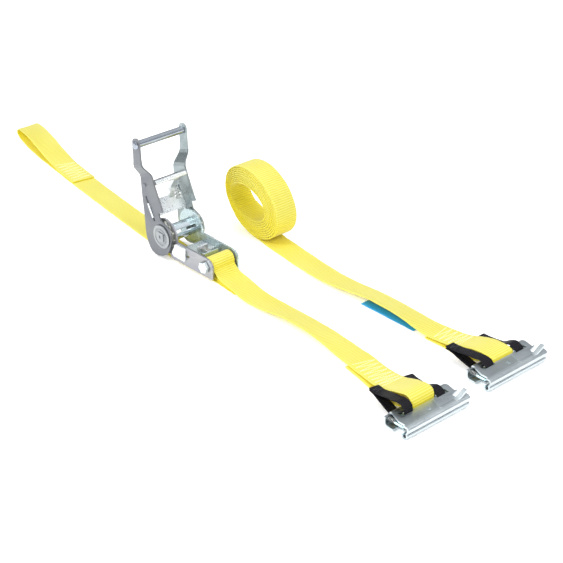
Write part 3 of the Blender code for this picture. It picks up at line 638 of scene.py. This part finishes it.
hand_rows = [
    (96.0, -2.6, 0.7, 0.0), (86.0, -1.8, 0.7, 0.0), (76.0, -1.0, 0.7, 0.0),
    (60.0, 0.0, 0.75, 0.0), (20.0, 0.0, 0.8, 0.0), (0.0, 0.6, 0.9, 0.0),
    (-30.0, 3.6, 1.0, 0.0), (-64.0, 7.8, 0.8, 0.0), (-93.0, 11.6, 0.75, 0.0),
    (-125.0, 15.8, 0.75, 0.0), (-153.0, 19.6, 0.75, 0.0), (-180.0, 23.4, 0.75, 0.0),
    (-205.0, 27.0, 0.75, 0.0), (-228.0, 30.6, 0.8, 0.0), (-250.0, 33.8, 0.9, 0.0),
    (-272.0, 37.0, 1.2, 0.0), (-295.0, 41.4, 1.6, 0.0), (-312.0, 45.0, 2.4, 0.0),
    (-322.0, 47.0, 3.6, 0.0), (-328.5, 48.2, 5.6, 0.0), (-331.3, 48.7, 8.4, 0.0),
    (-330.0, 48.5, 11.4, 0.0), (-325.0, 47.4, 13.4, 0.0), (-315.0, 45.4, 14.4, 0.0),
    (-300.0, 42.2, 14.4, 0.0), (-285.0, 39.4, 12.6, 0.0), (-270.0, 36.8, 9.6, 0.0),
    (-255.0, 34.6, 6.4, 0.0), (-242.0, 32.7, 4.0, 0.0), (-228.0, 30.6, 2.7, 0.0),
    (-212.0, 28.2, 2.4, 0.0), (-192.0, 25.1, 2.4, 0.0),
]
hand_strip = Strip(spline(hand_rows, 2.0), WEB_W)
hand_strap = strap_mesh("hand_loop_woven", hand_strip, WEB_T, yellow, "frame")
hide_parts("hand_loop_strap")

# The long strap: round its fitting's bar, along the floor, and into a coil. The coil runs from
# one slumped oval to another: X and Z of the middle, half its length and height, and its turn.
COIL_OUT = (18.2, 36.2, 41.0, 31.5, -31.0)
COIL_IN = (12.5, 34.6, 24.8, 16.4, -15.6)
COIL_Y = 84.7
TURNS = 9
TURN_STEPS = 72
OVERRUN = 14
FILL = 0.93
PRESSED = 0.16


def oval_point(oval, angle):
    """The place at an angle round an oval, as a vector in X and Z."""
    cx, cz, half_a, half_b, turn = oval
    t = math.radians(turn)
    a = half_a * math.cos(angle)
    b = half_b * math.sin(angle)
    return Vector((cx + a * math.cos(t) - b * math.sin(t), cz + a * math.sin(t) + b * math.cos(t)))


long_rows = loop_rows(
    FIT_2, 70.2, BAR_OVER_2,
    [(262.0, 68.6, 0.9, 0.0), (276.0, 69.0, 0.9, 0.0), (290.0, 69.4, 1.1, 0.0),
     (300.0, 69.4, 1.6, 0.0)],
    [(264.0, 69.4, 2.8, 0.6), (250.0, 69.4, 3.2, 2.4), (236.0, 70.6, 3.8, 4.6),
     (218.0, 71.8, 4.2, 5.4), (200.0, 72.4, 4.2, 5.6), (186.0, 72.6, 4.1, 5.4),
     (170.0, 71.6, 3.4, 4.4), (152.0, 70.4, 2.6, 3.2), (130.0, 70.6, 1.8, 1.6),
     (104.0, 73.4, 1.2, 0.6), (80.0, 76.8, 0.9, 0.2), (58.0, 80.0, 0.75, 0.0),
     (44.0, 81.8, 0.7, 0.0)])
long_path = spline(long_rows, 2.0)
lowest = min(range(720), key=lambda k: oval_point(COIL_OUT, -math.pi * k / 360).y)
base_angle = -math.pi * lowest / 360
coil_path = []
for i in range(TURNS * TURN_STEPS + OVERRUN):
    turned = i / TURN_STEPS
    angle = base_angle - 2 * math.pi * turned
    ahead_angle = angle - 0.01
    share = min(turned / TURNS, 1.03)
    spot = oval_point(COIL_OUT, angle).lerp(oval_point(COIL_IN, angle), share)
    tangent = (oval_point(COIL_OUT, ahead_angle).lerp(oval_point(COIL_IN, ahead_angle), share)
               - spot).normalized()
    between = oval_point(COIL_IN, angle) - oval_point(COIL_OUT, angle)
    pitch = abs(tangent.cross(between)) / TURNS
    depth = pitch * (FILL - PRESSED * max(0.0, 1.0 - abs(turned - 0.8)))
    drift = 0.45 * math.sin(turned * 5.1)
    coil_path.append((spot.x, COIL_Y + drift, spot.y - WEB_T / 2, 0.0, depth))
tail = coil_path[0]
long_path = [(*p, WEB_T) for p in long_path if p[0] > tail[0] + 12.0]
long_path.append((tail[0] + 6.0, COIL_Y - 0.6, 0.75, 0.0, WEB_T))
coil_rows = spline(long_path[-4:] + coil_path[1:], 2.0)
long_strip = Strip(long_path[:-4] + coil_rows, WEB_W)
long_strap = strap_mesh("long_strap_woven", long_strip, WEB_T, yellow, "frame")
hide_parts("long_strap", "long_strap_coil")

# Seams of the sewn overlaps. A ply that travels towards -X has its upper side below zero.
SEAM_HEIGHT = WEB_T / 2 + 0.1
SEAM_HALF = 10.4
SEAM_PITCH = 3.0
STITCH = 2.2
THREAD_R = 0.34


def seams(name, strip, spans):
    """Zigzag seams: each span is where one starts and stops along the strip, and its height."""
    lines = [sweep_line(strip, start, stop, SEAM_HALF, SEAM_PITCH, STITCH, height)
             for start, stop, height in spans]
    return stitches(name, lines, THREAD_R, cream_thread, "frame")


def crossings(strip, x):
    """How far along the strip it crosses x, each time that it does."""
    return [two[3] for one, two in zip(strip.spots, strip.spots[1:])
            if (one[0].x - x) * (two[0].x - x) <= 0]


short_front = (crossings(short_strip, 303.0)[-1], crossings(short_strip, 259.0)[-1],
               -SEAM_HEIGHT)
short_rear = (crossings(short_strip, 94.0)[0], crossings(short_strip, 76.0)[0], SEAM_HEIGHT)
long_front = (crossings(long_strip, 300.0)[-1], crossings(long_strip, 268.0)[-1],
              -SEAM_HEIGHT)
short_seams = seams("short_strap_seams", short_strip, [short_front, short_rear])
long_seams = seams("long_strap_seams", long_strip, [long_front])
hand_on_top = (crossings(hand_strip, -238.0)[-1], crossings(hand_strip, -195.0)[-1],
               SEAM_HEIGHT)
hand_seams = seams("hand_loop_seams", hand_strip, [hand_on_top])


# Pull tabs ---------------------------------------------------------------------------------

# X and Z from the fitting's place: under the latch and up through its slot.
TAB_UP = [(-29.0, 3.75), (-23.0, 3.7), (-19.6, 3.8), (-18.2, 4.4), (-17.6, 5.8), (-17.5, 8.0),
          (-17.4, 10.6), (-17.5, 12.9)]


def tab_path(arch, end, sag):
    """The line of a tab.

    arch is the height of its bend, end that of its free end, and sag how soon its upper ply
    drops from one to the other.
    """
    rise = end - 3.9
    fall = arch - end - 1.7
    lower = [(-62.0, end), (-54.0, end - 0.15 * rise), (-45.0, 3.9 + 0.42 * rise),
             (-36.0, 3.9 + 0.1 * rise)]
    upper = [(-18.6, arch - 2.6), (-21.4, arch - 0.7), (-25.6, arch),
             (-31.0, arch - 0.1 - sag * fall / 3), (-38.0, arch - sag * fall),
             (-46.0, arch - (sag + 1.0) / 2 * fall), (-54.0, arch - 0.95 * fall),
             (-62.0, end + 1.7)]
    return lower + TAB_UP + upper


def pull_tab(label, side, at, sign, drift, arch, end, sag):
    """One of a fitting's tabs, which drifts sideways towards its free end."""
    rows = []
    for x, z in tab_path(arch, end, sag):
        t = min(max((-30.0 - x) / 52.0, 0.0), 1.0)
        rows.append((at[0] + x, at[1] + sign * TAB_Y + drift * t, z, 0.0))
    strip = Strip(spline(rows, 1.2), TAB_W)
    node = f"track_fitting_{label}_tab_{side}"
    body = "latch_" + label
    tab = strap_mesh(node + "_woven", strip, TAB_T, black, body, 5)
    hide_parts(node)
    sewn = strip.length
    line = sweep_line(strip, sewn - 9.0, sewn - 2.5, 3.8, 2.2, 1.8, -TAB_T / 2 - 0.05)
    tab_seam = stitches(node + "_seam", [line], 0.22, black_thread, body)


pull_tab("one", "left", FIT_1, -1, 11.0, 19.5, 9.8, 0.35)
pull_tab("one", "right", FIT_1, 1, 14.0, 15.8, 4.0, 0.65)
pull_tab("two", "left", FIT_2, -1, 0.4, 16.0, 10.5, 0.35)
pull_tab("two", "right", FIT_2, 1, 3.2, 15.8, 4.0, 0.65)


# Springs -----------------------------------------------------------------------------------

SPRING_STEPS = 18
SPRING_SIDES = 7


def spring(node, joint, length, radius, gauge, turns):
    """A coil spring in place of the CAD one, wound from its held end to its end on the side of the
    joint's moving body.
    """
    found = next(j for j in frame["joints"] if j["name"] == joint)
    along = Vector(found["axis"]).normalized()
    low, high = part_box(node)
    middle = (Vector(low) + Vector(high)) / 2
    moved_end = middle - along * (length * MM / 2)
    held_end = middle + along * (length * MM / 2)
    side = along.orthogonal().normalized()
    other = along.cross(side)
    total = round(turns * SPRING_STEPS)
    sides = SPRING_SIDES
    verts = []
    for i in range(total + 1):
        turn = 2 * math.pi * i / SPRING_STEPS
        out = side * math.cos(turn) + other * math.sin(turn)
        ahead = (other * math.cos(turn) - side * math.sin(turn)).normalized()
        lead = ahead.cross(out)
        centre = held_end.lerp(moved_end, i / total) + out * (radius * MM)
        for k in range(sides):
            angle = 2 * math.pi * k / sides
            round_wire = out * math.cos(angle) + lead * math.sin(angle)
            verts.append(centre + round_wire * (gauge * MM / 2))
    faces = [(sides * i + k, sides * i + (k + 1) % sides,
              sides * (i + 1) + (k + 1) % sides, sides * (i + 1) + k)
             for i in range(total) for k in range(sides)]
    faces.append(tuple(reversed(range(sides))))
    faces.append(tuple(sides * total + k for k in range(sides)))
    coil = finish_mesh(node + "_coil", verts, faces, wire, None)
    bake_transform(coil)
    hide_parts(node)


spring("drive_pawl_spring", "drive_pawl_slide", 20.1, 2.6, 0.8, 7.0)
spring("lock_pawl_spring", "lock_pawl_slide", 10.0, 2.5, 0.8, 4.5)
for label in ("one", "two"):
    for side in ("left", "right"):
        spring(f"track_fitting_{label}_spring_{side}", f"latch_{label}_slide",
               6.2, 1.6, 0.6, 4.5)


# Label -------------------------------------------------------------------------------------

TAG_T = 0.45
TAG_ROWS = 32

tag_low, tag_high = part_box("label_tag")
tag_width = (tag_high.y - tag_low.y) / MM
tag_rows = []
for k in range(TAG_ROWS + 1):
    x = tag_low.x / MM + ORIGIN.x + (tag_high.x - tag_low.x) / MM * k / TAG_ROWS
    y = (tag_low.y + tag_high.y) / 2 / MM + ORIGIN.y
    tag_rows.append((x, y, 0.42 + 0.06 * math.sin(x * 0.12), 0.0))
tag_strip = Strip(tag_rows, tag_width)
tag = strap_mesh("label_tag_cloth", tag_strip, TAG_T, blue, "frame")
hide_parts("label_tag")
